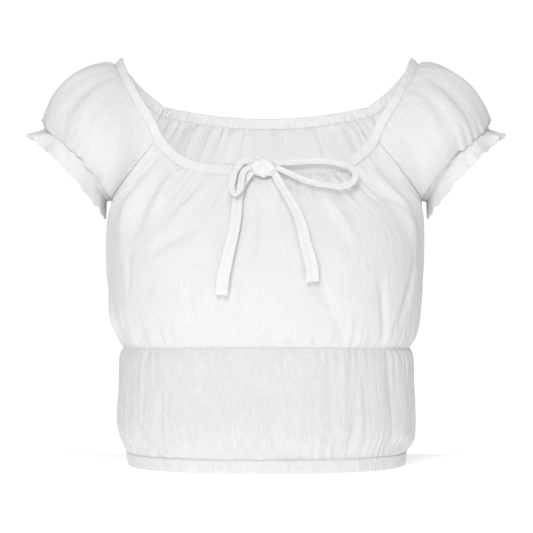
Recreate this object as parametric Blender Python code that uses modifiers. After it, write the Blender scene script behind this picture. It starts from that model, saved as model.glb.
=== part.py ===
"""A peasant blouse, filled out as it is worn, with nobody in it.

The blouse is cut as a gathered front and back, two raglan sleeves that end in their own frills, a crinkled
midriff in two halves, a drawstring casing round the neck and an elastic casing round the hem. A cloth tie
comes out of the neck casing and is tied in a bow. Each piece is a wall of cloth, an open surface with
Solidify, and neighbours stop a seam gap apart.

Frame: metres, +Z up, the front faces -Y and +X is the wearer's left. The origin is the middle of the
wearer's shoulder line, so a "drop" is how far something hangs below the shoulders.
"""

from collections import namedtuple

import bmesh
import bpy
import numpy as np

# ---------------------------------------------------------------- driving sizes
CLOTH_THICK = 0.0012
CASING_THICK = 0.0022
CASING_PROUD = 0.0006  # how far a casing stands out from the panels beside it
TIE_THICK = 0.0018
SEAM_GAP = 0.0003

NECK_CASING_WIDTH = 0.0110
HEM_CASING_WIDTH = 0.0130
FRILL_WIDTH = 0.0180

WAIST_DROP = 0.2870
WAIST_RISE = 0.0034  # the waist seam lifts this much at centre front
HEM_DROP = 0.4030
ARMPIT_DROP = 0.1410

SQUARENESS = 2.3  # 2 is an ellipse, and more is squarer

# Share of a panel's length that its armhole edge takes, and of a sleeve's seam before its underarm seam.
ARMHOLE_SHARE = 0.42
UNDERARM_SHARE = 0.92

Section = namedtuple("Section", "drop half_width front back")
BODICE_SECTIONS = (
    Section(0.030, 0.1480, 0.0740, 0.0830),
    Section(0.055, 0.1490, 0.0800, 0.0880),
    Section(0.080, 0.1500, 0.0872, 0.0950),
    Section(0.110, 0.1520, 0.0965, 0.1010),
    Section(0.150, 0.1552, 0.1160, 0.1050),
    Section(0.190, 0.1560, 0.1310, 0.1050),
    Section(0.220, 0.1560, 0.1340, 0.1030),
    Section(0.250, 0.1538, 0.1310, 0.1010),
    Section(0.268, 0.1502, 0.1240, 0.0990),
    Section(0.279, 0.1468, 0.1150, 0.0970),
    Section(0.287, 0.1420, 0.1075, 0.0950),
)
MIDRIFF_SECTIONS = (
    Section(0.287, 0.1420, 0.1075, 0.0950),
    Section(0.293, 0.1448, 0.1105, 0.0975),
    Section(0.303, 0.1463, 0.1130, 0.1000),
    Section(0.325, 0.1472, 0.1150, 0.1020),
    Section(0.350, 0.1485, 0.1170, 0.1035),
    Section(0.363, 0.1486, 0.1172, 0.1038),
    Section(0.375, 0.1465, 0.1155, 0.1022),
    Section(0.384, 0.1425, 0.1120, 0.0990),
    Section(0.390, 0.1388, 0.1088, 0.0962),
    Section(0.396, 0.1378, 0.1080, 0.0955),
    Section(0.403, 0.1372, 0.1074, 0.0950),
)

# The neckline: where it crosses the centre line and the raglan seams, and how sharply it turns up there.
NeckSide = namedtuple("NeckSide", "centre_drop corner_x corner_drop turn")
FRONT_NECK = NeckSide(0.1093, 0.1017, 0.0774, 5.0)
BACK_NECK = NeckSide(0.0527, 0.1049, 0.0417, 2.0)

# The neckline over the shoulder, between the two raglan seams.
ShoulderPoint = namedtuple("ShoulderPoint", "share x y drop")
SHOULDER_LINE = (
    ShoulderPoint(0.065, 0.1082, -0.0665, 0.0635),
    ShoulderPoint(0.175, 0.1213, -0.0580, 0.0427),
    ShoulderPoint(0.314, 0.1342, -0.0380, 0.0192),
    ShoulderPoint(0.500, 0.1445, 0.0000, -0.0020),
    ShoulderPoint(0.703, 0.1392, 0.0360, 0.0110),
    ShoulderPoint(0.806, 0.1296, 0.0500, 0.0218),
    ShoulderPoint(0.911, 0.1169, 0.0600, 0.0332),
)

# The cuff's elastic: an oval from the underarm to the top of the arm, drawn in towards the neck front and back.
CUFF_UNDERARM = np.array((0.1605, 0.0, -0.1415))
CUFF_TOP = np.array((0.2225, 0.0, -0.0700))
CUFF_HALF_DEPTH = 0.0560
CUFF_DRAWN_IN = 0.0090
SLEEVE_PUFF = 0.0235

# Pleats: how many across, how deep at the gathered edge, and how far they run into the cloth.
Gathers = namedtuple("Gathers", "count depth reach")
NECK_GATHERS = Gathers(13, 0.0022, 0.34)
WAIST_GATHERS = Gathers(15, 0.0016, 0.22)
MIDRIFF_GATHERS = Gathers(17, 0.0012, 0.60)
CUFF_GATHERS = Gathers(11, 0.0016, 0.36)
FRILL_WAVES = Gathers(11, 0.0050, 1.0)

# The largest folds of the front: where each starts and ends across (-1 to 1) and down (0 to 1) the panel.
Fold = namedtuple("Fold", "across_top down_top across_low down_low depth width")
FRONT_FOLDS = (
    Fold(-0.86, 0.04, -0.66, 0.55, 0.0035, 0.055),
    Fold(-0.70, 0.06, -0.52, 0.42, 0.0025, 0.050),
    Fold(0.82, 0.05, 0.62, 0.60, 0.0035, 0.055),
    Fold(0.02, 0.12, -0.04, 0.62, -0.0022, 0.040),
    Fold(0.55, 0.98, 0.36, 0.52, -0.0026, 0.050),
    Fold(-0.62, 0.98, -0.44, 0.60, -0.0024, 0.050),
)
BACK_FOLDS = (
    Fold(-0.58, 0.06, -0.44, 0.60, 0.0028, 0.060),
    Fold(0.12, 0.05, 0.06, 0.70, 0.0022, 0.060),
    Fold(0.64, 0.06, 0.50, 0.55, 0.0028, 0.060),
)

# The bow: its knot, and the middle of the cloth along each loop and tail, x and drop, on the front.
KNOT_CENTRE = np.array((-0.0030, -0.1075, -0.1128))
KNOT_SIZE = (0.0230, 0.0110, 0.0180)
TiePoint = namedtuple("TiePoint", "x drop stand_off width")
TAIL_LEFT = (
    TiePoint(0.0085, 0.1240, 0.0050, 0.0080),
    TiePoint(0.0140, 0.1317, 0.0046, 0.0085),
    TiePoint(0.0240, 0.1481, 0.0046, 0.0095),
    TiePoint(0.0320, 0.1685, 0.0046, 0.0110),
    TiePoint(0.0369, 0.1877, 0.0046, 0.0120),
    TiePoint(0.0413, 0.2078, 0.0046, 0.0128),
    TiePoint(0.0428, 0.2209, 0.0046, 0.0130),
)
TAIL_RIGHT = (
    TiePoint(-0.0165, 0.1225, 0.0048, 0.0080),
    TiePoint(-0.0225, 0.1300, 0.0046, 0.0090),
    TiePoint(-0.0268, 0.1420, 0.0046, 0.0100),
    TiePoint(-0.0280, 0.1574, 0.0046, 0.0110),
    TiePoint(-0.0314, 0.1777, 0.0046, 0.0115),
    TiePoint(-0.0349, 0.1927, 0.0046, 0.0120),
    TiePoint(-0.0394, 0.2127, 0.0046, 0.0125),
    TiePoint(-0.0413, 0.2329, 0.0046, 0.0130),
)
LOOP_LEFT = (
    TiePoint(0.0115, 0.1120, 0.0085, 0.0060),
    TiePoint(0.0241, 0.1108, 0.0090, 0.0065),
    TiePoint(0.0445, 0.1092, 0.0095, 0.0065),
    TiePoint(0.0640, 0.1112, 0.0105, 0.0065),
    TiePoint(0.0770, 0.1180, 0.0120, 0.0065),
    TiePoint(0.0805, 0.1250, 0.0125, 0.0065),
    TiePoint(0.0775, 0.1318, 0.0120, 0.0065),
    TiePoint(0.0700, 0.1352, 0.0110, 0.0065),
    TiePoint(0.0547, 0.1342, 0.0100, 0.0065),
    TiePoint(0.0344, 0.1290, 0.0095, 0.0065),
    TiePoint(0.0215, 0.1225, 0.0095, 0.0060),
    TiePoint(0.0130, 0.1172, 0.0090, 0.0055),
)
LOOP_RIGHT = (
    TiePoint(-0.0165, 0.1065, 0.0080, 0.0060),
    TiePoint(-0.0215, 0.1100, 0.0095, 0.0065),
    TiePoint(-0.0275, 0.1180, 0.0100, 0.0065),
    TiePoint(-0.0310, 0.1290, 0.0105, 0.0065),
    TiePoint(-0.0318, 0.1390, 0.0110, 0.0065),
    TiePoint(-0.0285, 0.1435, 0.0118, 0.0065),
    TiePoint(-0.0245, 0.1400, 0.0118, 0.0065),
    TiePoint(-0.0225, 0.1300, 0.0112, 0.0065),
    TiePoint(-0.0205, 0.1210, 0.0105, 0.0060),
    TiePoint(-0.0170, 0.1150, 0.0095, 0.0055),
)

WHITE_COTTON = (0.90, 0.90, 0.89, 1.0)


# ---------------------------------------------------------------- curves and sections
def smooth_curve(at, values):
    """A smooth function through the rows of a table, straight on past nothing: it stops at both ends."""
    at = np.array(at, float)
    values = np.array(values, float)
    slopes = np.gradient(values, at, axis=0)

    def value(x):
        x = np.clip(np.asarray(x, float), at[0], at[-1])
        row = np.clip(np.searchsorted(at, x) - 1, 0, len(at) - 2)
        span = at[row + 1] - at[row]
        t = (x - at[row]) / span
        if values.ndim > 1:
            t, span = t[..., None], span[..., None]
        return (
            values[row] * (1 + 2 * t) * (1 - t) ** 2
            + slopes[row] * span * t * (1 - t) ** 2
            + values[row + 1] * t**2 * (3 - 2 * t)
            + slopes[row + 1] * span * t**2 * (t - 1)
        )

    return value


def torso(sections):
    """The half width, front depth and back depth of the torso at any drop."""
    return smooth_curve([s.drop for s in sections], [s[1:] for s in sections])


bodice_size = torso(BODICE_SECTIONS)
midriff_size = torso(MIDRIFF_SECTIONS)


def mix(a, b, share):
    return a + (b - a) * share


def ease(t):
    t = np.clip(t, 0, 1)
    return t * t * (3 - 2 * t)


def signed_power(value, power):
    return np.sign(value) * np.abs(value) ** power


def round_torso(size, drop, angle):
    """A point of the torso: angle 0 is centre front, a quarter turn the wearer's left, and so round."""
    half_width, front, back = np.moveaxis(size, -1, 0)
    x = half_width * signed_power(np.sin(angle), 2 / SQUARENESS)
    ahead = signed_power(np.cos(angle), 2 / SQUARENESS)
    y = -np.where(ahead > 0, front, back) * ahead
    return np.stack(np.broadcast_arrays(x, y, -drop), axis=-1)


def waist_lift(angle):
    return WAIST_RISE * np.clip(np.cos(angle), 0, 1) ** 2


# ---------------------------------------------------------------- the panels' surfaces
def armhole_edge(neck, down):
    """Angle and drop of a bodice panel's edge: the raglan seam to the armpit, then the side seam."""
    seam = np.clip(down / ARMHOLE_SHARE, 0, 1)
    side = np.clip((down - ARMHOLE_SHARE) / (1 - ARMHOLE_SHARE), 0, 1)
    drop = mix(neck.corner_drop, ARMPIT_DROP, seam) + (WAIST_DROP - ARMPIT_DROP) * side
    x = mix(neck.corner_x, bodice_size(ARMPIT_DROP)[0], seam)
    reach = np.where(seam < 1, x / bodice_size(drop)[..., 0], 1.0)
    return np.arcsin(np.clip(reach, 0, 1) ** (SQUARENESS / 2)), drop


def bodice_point(neck, across, down):
    """A point of the front or back: across runs -1 to 1 between the seams, down 0 to 1 from neck to waist."""
    edge_angle, edge_drop = armhole_edge(neck, down)
    centre_drop = mix(neck.centre_drop, WAIST_DROP, down)
    angle = edge_angle * np.abs(across)
    out = (np.sin(angle) / np.sin(edge_angle)) ** (2 / SQUARENESS)
    climb = mix(out**neck.turn, across**2, ease(down / ARMHOLE_SHARE))
    drop = mix(centre_drop, edge_drop, climb)
    turned = angle * np.sign(across)
    if neck is BACK_NECK:
        turned = np.pi - turned
    point = round_torso(bodice_size(drop), drop, turned)
    point[..., 2] += waist_lift(turned) * ease((drop - 0.20) / (WAIST_DROP - 0.20))
    return point


def raglan_seam(neck, share):
    """The seam between a bodice panel and the sleeve at +X, from the neckline to the armpit."""
    angle, drop = armhole_edge(neck, share * ARMHOLE_SHARE)
    if neck is BACK_NECK:
        angle = np.pi - angle
    return round_torso(bodice_size(drop), drop, angle)


SHOULDER_ROWS = (
    [raglan_seam(FRONT_NECK, 0.0)]
    + [np.array((p.x, p.y, -p.drop)) for p in SHOULDER_LINE]
    + [raglan_seam(BACK_NECK, 0.0)]
)
shoulder_edge = smooth_curve([0.0] + [p.share for p in SHOULDER_LINE] + [1.0], SHOULDER_ROWS)

CUFF_CENTRE = (CUFF_UNDERARM + CUFF_TOP) / 2
CUFF_UP = (CUFF_TOP - CUFF_UNDERARM) / 2
CUFF_OUT = np.array((CUFF_UP[2], 0.0, -CUFF_UP[0])) / np.linalg.norm(CUFF_UP)


def cuff_edge(around):
    """The elastic line of the cuff at +X: 0 and 1 are the underarm, a quarter the front, a half the top."""
    turn = 2 * np.pi * np.asarray(around, float)[..., None]
    drawn = CUFF_DRAWN_IN * np.abs(np.sin(turn)) ** 1.5
    depth = CUFF_HALF_DEPTH * np.sin(turn)
    return CUFF_CENTRE - CUFF_UP * np.cos(turn) - CUFF_OUT * drawn - np.array((0, 1, 0)) * depth


def sleeve_seam(neck, along):
    """A sleeve's edge: its raglan seam, then the short underarm seam to the cuff."""
    along = np.asarray(along, float)
    seam = raglan_seam(neck, np.clip(along / UNDERARM_SHARE, 0, 1))
    under = np.clip((along - UNDERARM_SHARE) / (1 - UNDERARM_SHARE), 0, 1)[..., None]
    return seam + (CUFF_UNDERARM - raglan_seam(neck, 1.0)) * under


def sleeve_point(around, along):
    """A point of the sleeve at +X: around 0 to 1 from front seam to back seam, along 0 to 1 from neck to cuff."""
    t, w = np.asarray(around, float)[..., None], np.asarray(along, float)[..., None]
    ends = mix(shoulder_edge(around), cuff_edge(around), w)
    sides = mix(sleeve_seam(FRONT_NECK, along), sleeve_seam(BACK_NECK, along), t)
    corners = mix(
        mix(shoulder_edge(0.0), shoulder_edge(1.0), t), mix(cuff_edge(0.0), cuff_edge(1.0), t), w
    )
    return ends + sides - corners


def sleeve_puff(around, along):
    """How far the sleeve blows out from the straight lines between its edges."""
    return SLEEVE_PUFF * np.sin(np.pi * along) ** 0.5 * np.sin(np.pi * around) ** 0.8


def frill_point(around, out):
    """A point of the frill at +X: out runs 0 to 1 from the elastic to the free edge."""
    base = cuff_edge(around)
    t, k = np.asarray(around, float)[..., None], np.asarray(out, float)[..., None]
    radial = base - CUFF_CENTRE
    radial /= np.linalg.norm(radial, axis=-1, keepdims=True)
    under = np.cos(np.pi * t) ** 4
    way = mix(CUFF_OUT + 0.25 * radial, np.array((0.05, 0.0, -1.0)), under)
    way /= np.linalg.norm(way, axis=-1, keepdims=True)
    wave = np.sin(2 * np.pi * (FRILL_WAVES.count * t + 0.25 * np.sin(2 * np.pi * 2 * t + 0.6)))
    side = 0.6 * radial - 0.8 * mix(CUFF_OUT, radial, 0.5) * under
    return base + way * FRILL_WIDTH * k + side * FRILL_WAVES.depth * wave * k * (1 - 0.8 * under)


def midriff_point(angle, down):
    """A point of the midriff: down runs 0 to 1 from the waist seam to the hem."""
    drop = mix(WAIST_DROP, HEM_DROP, np.asarray(down, float))
    point = round_torso(midriff_size(drop), drop, angle)
    point[..., 2] += waist_lift(angle) * (1 - down)
    return point


# ---------------------------------------------------------------- gathers and folds
def levelled(normals, share):
    """Normals turned level where share is 1, so that what is moved along them stays at its seam."""
    level = normals * np.stack([np.ones_like(share), np.ones_like(share), 1 - share], axis=-1)
    return level / np.linalg.norm(level, axis=-1, keepdims=True)


def pleats(gathers, share, into):
    """Depth of the pleats: share runs 0 to 1 along the gathered edge, into 0 to 1 away from it."""
    uneven = share + 0.012 * np.sin(2 * np.pi * 3 * share + 0.7) + 0.008 * np.sin(2 * np.pi * 7 * share)
    fade = np.clip(1 - into / gathers.reach, 0, 1) ** 1.5
    return gathers.depth * np.sin(2 * np.pi * gathers.count * uneven) * fade


def folds(rows, across, down):
    """The sum of the listed folds, each a soft ridge, or a trough where its depth is negative."""
    total = np.zeros(np.broadcast(across, down).shape)
    for fold in rows:
        along = np.array((fold.across_low - fold.across_top, fold.down_low - fold.down_top))
        place = np.stack(np.broadcast_arrays(across - fold.across_top, down - fold.down_top), -1)
        share = np.clip(place @ along / (along @ along), 0, 1)
        away = np.linalg.norm(place - share[..., None] * along, axis=-1)
        total += fold.depth * np.exp(-((away / fold.width) ** 2)) * np.sin(np.pi * mix(0.12, 0.95, share))
    return total


def outward(points, round_it=False):
    """Unit normals of a grid of points, first index across and second down."""
    if round_it:
        wrapped = np.concatenate([points[-1:], points, points[:1]])
        across = (wrapped[2:] - wrapped[:-2]) / 2
    else:
        across = np.gradient(points, axis=0)
    normal = np.cross(np.gradient(points, axis=1), across)
    return normal / np.linalg.norm(normal, axis=-1, keepdims=True)


# ---------------------------------------------------------------- Blender objects
def cotton(name):
    material = bpy.data.materials.new(f"{name}_cotton")
    material.use_nodes = True
    shader = material.node_tree.nodes["Principled BSDF"]
    shader.inputs["Base Color"].default_value = WHITE_COTTON
    shader.inputs["Roughness"].default_value = 0.9
    shader.inputs["Metallic"].default_value = 0.0
    return material


def cloth(name, points, thickness, collection, material, round_it=False):
    """One piece of cloth: a grid of points on its outer face, given its thickness inwards."""
    columns, rows = points.shape[:2]
    faces = []
    for i in range(columns if round_it else columns - 1):
        beside = (i + 1) % columns
        for j in range(rows - 1):
            faces.append((i * rows + j, i * rows + j + 1, beside * rows + j + 1, beside * rows + j))
    mesh = bpy.data.meshes.new(name)
    mesh.from_pydata(points.reshape(-1, 3).tolist(), [], faces)
    mesh.shade_smooth()
    piece = bpy.data.objects.new(name, mesh)
    collection.objects.link(piece)
    piece.data.materials.append(material)
    wall = piece.modifiers.new("wall", "SOLIDIFY")
    wall.thickness = thickness
    wall.offset = -1.0
    wall.use_even_offset = False
    return piece


def mirrored(points):
    """The same piece for the other side of the wearer, with its faces still pointing out."""
    return (points * np.array((-1.0, 1.0, 1.0)))[::-1]


def casing_share(point_at):
    """The share of a panel's length that the neck casing covers, at each column of the panel."""
    step = 0.02
    start, further = point_at(0.0), point_at(step)
    return NECK_CASING_WIDTH * step / np.linalg.norm(further - start, axis=-1)


def bodice_casing_share(neck, across):
    return casing_share(lambda down: bodice_point(neck, across, np.full_like(across, down)))


def sleeve_casing_share(around):
    return casing_share(lambda along: sleeve_point(around, np.full_like(around, along)))


def bodice_relief(neck, across, into):
    """How far the pleats and folds stand out, into running 0 to 1 from the casing to the waist seam."""
    share = (across + 1) / 2
    into = np.clip(into, 0, 1)
    relief = (
        pleats(NECK_GATHERS, share, into)
        + pleats(WAIST_GATHERS, share, 1 - into)
        + folds(FRONT_FOLDS if neck is FRONT_NECK else BACK_FOLDS, across, into)
    )
    return relief * ease((1 - np.abs(across)) / 0.10)


def bodice_grid(neck, across, rows):
    """The front or back below the neck casing, from left to right as it is seen from outside."""
    top = bodice_casing_share(neck, across)[:, None]
    end = 1 - SEAM_GAP / (WAIST_DROP - neck.centre_drop)
    into = np.linspace(0, 1, rows)
    down = top + (end - top) * into
    across = across[:, None] + 0 * down
    points = bodice_point(neck, across, down)
    if neck is BACK_NECK:
        across, points = across[::-1], points[::-1]
    into = into + 0 * across
    way = levelled(outward(points), ease((into - 0.7) / 0.3))
    return points + way * bodice_relief(neck, across, into)[..., None]


def sleeve_grid(around, rows, frill_rows):
    """The sleeve at +X below the neck casing, and its frill beyond the elastic."""
    top = sleeve_casing_share(around)[:, None]
    into = np.linspace(0, 1, rows)
    along = top + (1 - top) * into
    turn = around[:, None] + 0 * along
    points = sleeve_point(turn, along)
    relief = sleeve_puff(turn, into) + pleats(CUFF_GATHERS, turn, 1 - into) * np.sin(np.pi * turn) ** 0.5 * ease(
        (1 - into) / 0.1
    )
    sleeve = points + outward(points) * relief[..., None]
    out = np.linspace(0, 1, frill_rows + 1)[1:]
    frill = frill_point(around[:, None] + 0 * out, out + 0 * around[:, None])
    return np.concatenate([sleeve, frill], axis=1)


def midriff_grid(centre, columns, rows):
    """Half of the midriff, centred in front or behind, from its right side seam to its left as seen from outside."""
    half = np.pi / 2 - SEAM_GAP / 2 / 0.10
    angle = (centre + np.linspace(-half, half, columns))[:, None]
    casing = 1 - (HEM_CASING_WIDTH + 2 * SEAM_GAP) / (HEM_DROP - WAIST_DROP)
    into = np.linspace(0, 1, rows)
    points = midriff_point(angle, SEAM_GAP / (HEM_DROP - WAIST_DROP) / 2 + into * casing + 0 * angle)
    share = np.linspace(0, 1, columns)[:, None]
    relief = pleats(MIDRIFF_GATHERS, share, into) + 0.7 * pleats(MIDRIFF_GATHERS, share + 0.3, 1 - into)
    relief = relief * ease(np.minimum(share, 1 - share) / 0.05)
    into = into + 0 * angle
    way = levelled(outward(points), ease(np.abs(into - 0.5) / 0.5))
    return points + way * relief[..., None]


def neck_casing_grid(front_columns, sleeve_columns):
    """The casing, all round the neck: over the front, the left sleeve, the back and the right sleeve."""
    front = np.linspace(-1, 1, front_columns)
    turn = np.linspace(0, 1, sleeve_columns)[1:-1]
    widths = np.linspace(0, 1, 3)

    def stretch(point_at, share):
        gap = SEAM_GAP / NECK_CASING_WIDTH
        down = share[:, None] * widths * (1 - gap)
        points = point_at(down)
        return points + outward(points) * CASING_PROUD

    over_front = stretch(
        lambda down: bodice_point(FRONT_NECK, front[:, None] + 0 * down, down), bodice_casing_share(FRONT_NECK, front)
    )
    over_sleeve = stretch(lambda along: sleeve_point(turn[:, None] + 0 * along, along), sleeve_casing_share(turn))
    back = front[::-1]
    over_back = stretch(
        lambda down: bodice_point(BACK_NECK, back[:, None] + 0 * down, down), bodice_casing_share(BACK_NECK, back)
    )
    return np.concatenate([over_front, over_sleeve, over_back, mirrored(over_sleeve)])


def hem_casing_grid(columns):
    angle = (np.linspace(0, 2 * np.pi, columns, endpoint=False))[:, None]
    start = 1 - HEM_CASING_WIDTH / (HEM_DROP - WAIST_DROP)
    points = midriff_point(angle, np.linspace(start, 1, 3) + 0 * angle)
    return points + outward(points, round_it=True) * CASING_PROUD


def front_at(x, drop):
    """The front's surface and its normal at a place given in metres across and down, pleats and folds included."""
    length = WAIST_DROP - FRONT_NECK.centre_drop
    across, down = x / 0.15, (drop - FRONT_NECK.centre_drop) / length
    for _ in range(40):
        point = bodice_point(FRONT_NECK, across, down)
        across = across + 0.8 * (x - point[:, 0]) / 0.15
        down = down + 0.8 * (drop + point[:, 2]) / length
    step = 1e-4
    rise = bodice_point(FRONT_NECK, across, down + step) - point
    run = bodice_point(FRONT_NECK, across + step, down) - point
    normal = np.cross(rise, run)
    normal /= np.linalg.norm(normal, axis=-1, keepdims=True)
    top = bodice_casing_share(FRONT_NECK, across)
    relief = bodice_relief(FRONT_NECK, across, (down - top) / (1 - top))
    return point + normal * np.maximum(relief, 0)[:, None], normal


def tie_grid(rows, columns):
    """A strip of the tie lying over the front, along a smooth line through the table's rows."""
    place = np.array([(r.x, r.drop) for r in rows])
    reach = np.concatenate([[0], np.cumsum(np.linalg.norm(np.diff(place, axis=0), axis=1))])
    line = smooth_curve(reach, rows)(np.linspace(0, reach[-1], columns))
    x, drop, stand_off, width = line.T
    surface, normal = front_at(x, drop)
    centre = surface + normal * stand_off[:, None]
    centre[:, 1] = np.convolve(np.pad(centre[:, 1], 2, mode="edge"), np.ones(5) / 5, mode="valid")
    along = np.gradient(centre, axis=0)
    side = np.cross(along, normal)
    side /= np.linalg.norm(side, axis=-1, keepdims=True)
    across = np.linspace(-0.5, 0.5, 3)[None, :, None]
    return centre[:, None] + side[:, None] * width[:, None, None] * across


def knot(collection, material):
    """The knot, a small cushion of wrapped cloth."""
    mesh = bpy.data.meshes.new("tie_knot")
    form = bmesh.new()
    bmesh.ops.create_uvsphere(form, u_segments=12, v_segments=7, radius=0.5)
    for vertex in form.verts:
        vertex.co = [signed_power(2 * c, 0.8) / 2 * size for c, size in zip(vertex.co, KNOT_SIZE)]
    form.to_mesh(mesh)
    form.free()
    mesh.shade_smooth()
    piece = bpy.data.objects.new("tie_knot", mesh)
    piece.location = KNOT_CENTRE
    piece.data.materials.append(material)
    collection.objects.link(piece)


def main():
    for old in list(bpy.data.objects):
        bpy.data.objects.remove(old)
    blouse = bpy.data.collections.new("peasant_blouse")
    bpy.context.scene.collection.children.link(blouse)

    def sew(name, points, thickness=CLOTH_THICK, round_it=False):
        cloth(name, points, thickness, blouse, cotton(name), round_it)

    edge = 1 - 2 * SEAM_GAP / 0.14
    sew("bodice_front", bodice_grid(FRONT_NECK, np.linspace(-edge, edge, 43), 11))
    sew("bodice_back", bodice_grid(BACK_NECK, np.linspace(-edge, edge, 33), 9))
    gap = 3 * SEAM_GAP / 0.18
    sleeve = sleeve_grid(np.linspace(gap, 1 - gap, 35), 7, 2)
    sew("sleeve_left", sleeve)
    sew("sleeve_right", mirrored(sleeve))
    sew("midriff_front", midriff_grid(0.0, 35, 6))
    sew("midriff_back", midriff_grid(np.pi, 27, 6))
    sew("neck_casing", neck_casing_grid(25, 17), CASING_THICK, round_it=True)
    sew("hem_casing", hem_casing_grid(48), CASING_THICK, round_it=True)
    sew("tie_tail_left", tie_grid(TAIL_LEFT, 13), TIE_THICK)
    sew("tie_tail_right", tie_grid(TAIL_RIGHT, 13), TIE_THICK)
    sew("tie_loop_left", tie_grid(LOOP_LEFT, 29), TIE_THICK)
    sew("tie_loop_right", tie_grid(LOOP_RIGHT, 21), TIE_THICK)
    knot(blouse, cotton("tie_knot"))


main()
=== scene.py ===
# %% [markdown]
# A peasant blouse of crinkled white cotton, filled out as it is worn.
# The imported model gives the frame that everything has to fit, so it is loaded first and its box is kept.

# %% Load the frame
from collections import namedtuple

import bmesh
import bpy
import numpy as np
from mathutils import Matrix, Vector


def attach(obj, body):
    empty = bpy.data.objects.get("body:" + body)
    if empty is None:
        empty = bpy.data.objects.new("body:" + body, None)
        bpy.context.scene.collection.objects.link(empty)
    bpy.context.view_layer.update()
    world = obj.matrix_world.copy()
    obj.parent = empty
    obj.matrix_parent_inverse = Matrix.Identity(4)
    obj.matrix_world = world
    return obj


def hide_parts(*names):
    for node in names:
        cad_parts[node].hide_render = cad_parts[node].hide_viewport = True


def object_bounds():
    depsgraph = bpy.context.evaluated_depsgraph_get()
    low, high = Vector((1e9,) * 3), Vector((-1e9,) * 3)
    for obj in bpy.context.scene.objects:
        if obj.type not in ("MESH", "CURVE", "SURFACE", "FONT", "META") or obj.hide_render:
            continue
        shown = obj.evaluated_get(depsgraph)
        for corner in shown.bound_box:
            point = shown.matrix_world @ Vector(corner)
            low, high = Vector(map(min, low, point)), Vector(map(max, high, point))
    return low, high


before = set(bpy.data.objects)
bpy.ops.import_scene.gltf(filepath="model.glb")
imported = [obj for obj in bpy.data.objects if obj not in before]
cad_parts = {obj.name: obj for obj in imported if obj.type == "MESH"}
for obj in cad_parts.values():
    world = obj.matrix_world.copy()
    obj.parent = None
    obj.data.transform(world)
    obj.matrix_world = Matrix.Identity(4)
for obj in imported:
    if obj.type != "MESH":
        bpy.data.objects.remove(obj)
cad_box = [list(corner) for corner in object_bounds()]
print("frame nodes:", sorted(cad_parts))
print("box:", cad_box)

# %% [markdown]
# The studio: a level camera with a long lens, a white floor under the hem and a white sky.
# The sky is white to the camera and much dimmer as a light, so white cloth keeps its shading. One large
# soft light in front gives the folds their bright and dark sides. Real cotton this thin lets light through,
# which these walls don't, so a small light inside the blouse does that for the inside of the back. Area
# lights are used because their size alone sets how soft the shadows are.

# %% Camera, sky, light and floor
from mathutils import Vector

scene = bpy.context.scene
scene.view_settings.view_transform = "Standard"

CAMERA_BACK = 2.0
CAMERA_HEIGHT = -0.2065
SKY_AS_LIGHT = 0.35
SKY_TO_CAMERA = 1.02
FLOOR_GLOW = 0.46
FLOOR_GAP = 0.0005  # between the hem and the floor
FLOOR_REACH = 3.0
FLOOR_BEHIND = 0.1  # the floor ends here, behind the hem, where the sky takes over
lens = bpy.data.cameras.new("camera")
lens.lens = 135
lens.sensor_width = 36
camera = bpy.data.objects.new("camera", lens)
camera.location = (0.0, -CAMERA_BACK, CAMERA_HEIGHT)
camera.rotation_euler = (np.pi / 2, 0, 0)
scene.collection.objects.link(camera)
scene.camera = camera

sky = bpy.data.worlds.new("white_sky")
scene.world = sky
sky.use_nodes = True
sky_nodes, sky_links = sky.node_tree.nodes, sky.node_tree.links
background = sky_nodes["Background"]
background.inputs["Color"].default_value = (1, 1, 1, 1)
seen = sky_nodes.new("ShaderNodeLightPath")
brightness = sky_nodes.new("ShaderNodeMapRange")
brightness.inputs["To Min"].default_value = SKY_AS_LIGHT
brightness.inputs["To Max"].default_value = SKY_TO_CAMERA
sky_links.new(seen.outputs["Is Camera Ray"], brightness.inputs["Value"])
sky_links.new(brightness.outputs["Result"], background.inputs["Strength"])


def soft_light(name, place, size, watts, target=(0, 0, -0.2)):
    lamp = bpy.data.lights.new(name, "AREA")
    lamp.size = size
    lamp.energy = watts
    light = bpy.data.objects.new(name, lamp)
    light.location = place
    light.visible_camera = False
    aim = np.array(target) - np.array(place)
    light.rotation_euler = Vector(aim).to_track_quat("-Z", "Y").to_euler()
    scene.collection.objects.link(light)


soft_light("front_softbox", (-0.6, -2.9, 1.3), size=1.1, watts=37)
soft_light("inside_fill", (0.1, -1.0, 1.7), size=0.6, watts=6)
soft_light("inside_back", (0.0, -0.045, -0.13), size=0.16, watts=0.085, target=(0, 0.12, -0.06))

floor_mesh = bpy.data.meshes.new("floor")
floor_top = cad_box[0][2] - FLOOR_GAP
floor_corners = (
    (-FLOOR_REACH, -FLOOR_REACH),
    (FLOOR_REACH, -FLOOR_REACH),
    (FLOOR_REACH, FLOOR_BEHIND),
    (-FLOOR_REACH, FLOOR_BEHIND),
)
floor_mesh.from_pydata([(x, y, floor_top) for x, y in floor_corners], [], [(0, 1, 2, 3)])
floor = bpy.data.objects.new("floor", floor_mesh)
scene.collection.objects.link(floor)
paint = bpy.data.materials.new("floor_white")
paint.use_nodes = True
floor_shader = paint.node_tree.nodes["Principled BSDF"]
floor_shader.inputs["Base Color"].default_value = (0.95, 0.95, 0.95, 1)
floor_shader.inputs["Roughness"].default_value = 1.0
floor_shader.inputs["Specular IOR Level"].default_value = 0.0
floor_shader.inputs["Emission Color"].default_value = (1, 1, 1, 1)
floor_shader.inputs["Emission Strength"].default_value = FLOOR_GLOW
floor_mesh.materials.append(paint)
print("floor at", round(floor_top, 4))

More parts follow.
